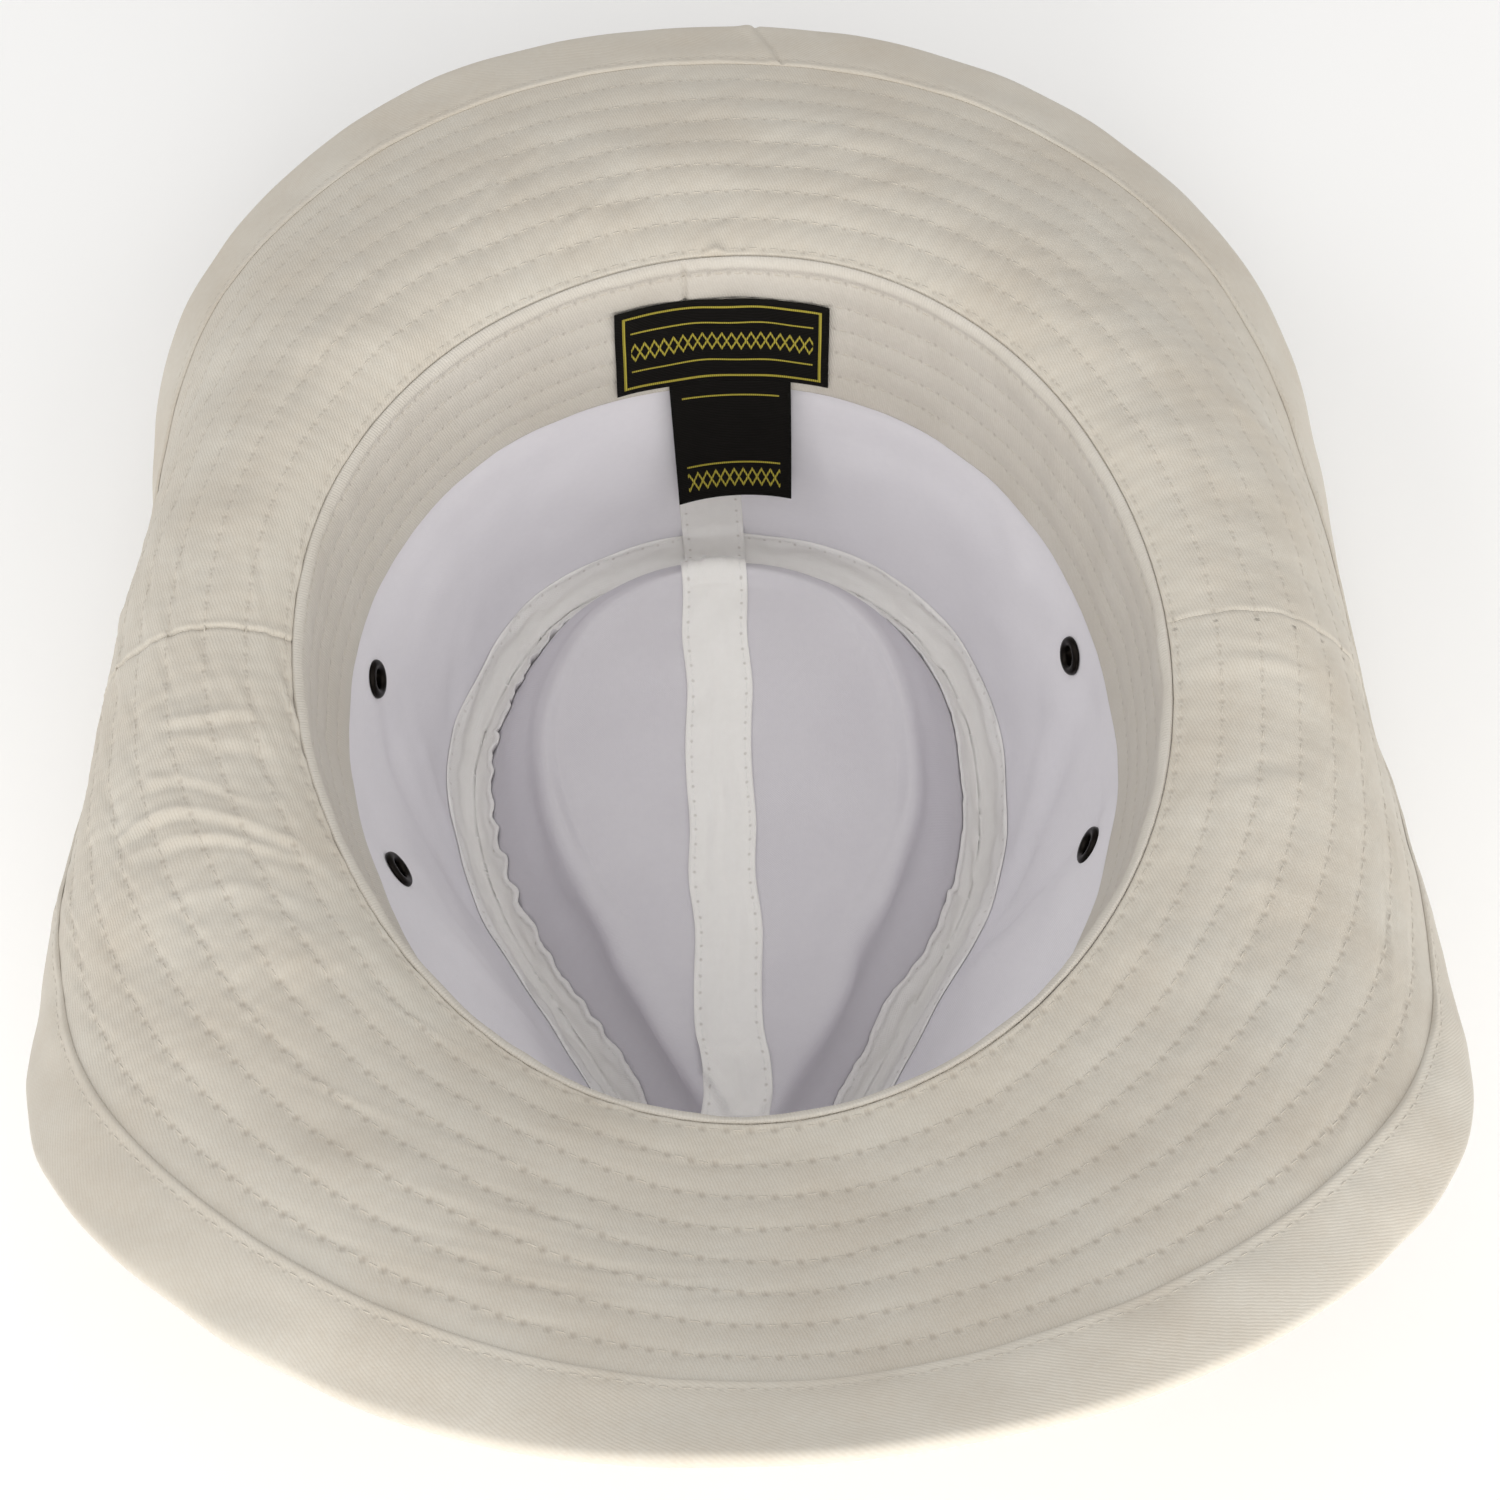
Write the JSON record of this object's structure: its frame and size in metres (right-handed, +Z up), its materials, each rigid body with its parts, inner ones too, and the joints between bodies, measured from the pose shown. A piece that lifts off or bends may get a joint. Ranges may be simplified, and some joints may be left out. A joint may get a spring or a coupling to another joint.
{
  "type": "fedora hat",
  "caption": "Pinch-front teardrop-crown fedora of washed cotton twill, lying on its crown: row-stitched brim with a bound edge, sweatband, taped lining seams, eyelets and plain sewn labels.",
  "frame": {"origin": "middle of the bounding box's base, on the surface that the crown's ridge rests on", "axes": "+Z up with the hat lying upside down, -Y towards its front, +X towards the wearer's right"},
  "size_m": [0.2618, 0.3358, 0.1563],
  "materials": {
    "putty_twill": "washed cotton twill, matt",
    "lining_white": "plain white cotton lining, matt",
    "white_tape": "white cotton seam tape, matt",
    "label_black": "black woven label, satin weave",
    "gunmetal": "dark gunmetal, semi-gloss"
  },
  "bodies": {
    "root": {"crown_side_left": "lining_white", "crown_side_right": "lining_white", "crown_tip_left": "lining_white", "crown_tip_right": "lining_white", "brim_front": "putty_twill", "brim_back": "putty_twill", "brim_binding": "putty_twill", "sweatband": "putty_twill", "tape_ring": "white_tape", "tape_side_back": "white_tape", "tape_tip_center": "white_tape", "tape_side_front": "white_tape", "eyelet_left_back": "gunmetal", "eyelet_left_front": "gunmetal", "eyelet_right_back": "gunmetal", "eyelet_right_front": "gunmetal", "label_main": "label_black", "label_care": "label_black"}
  },
  "joints": []
}
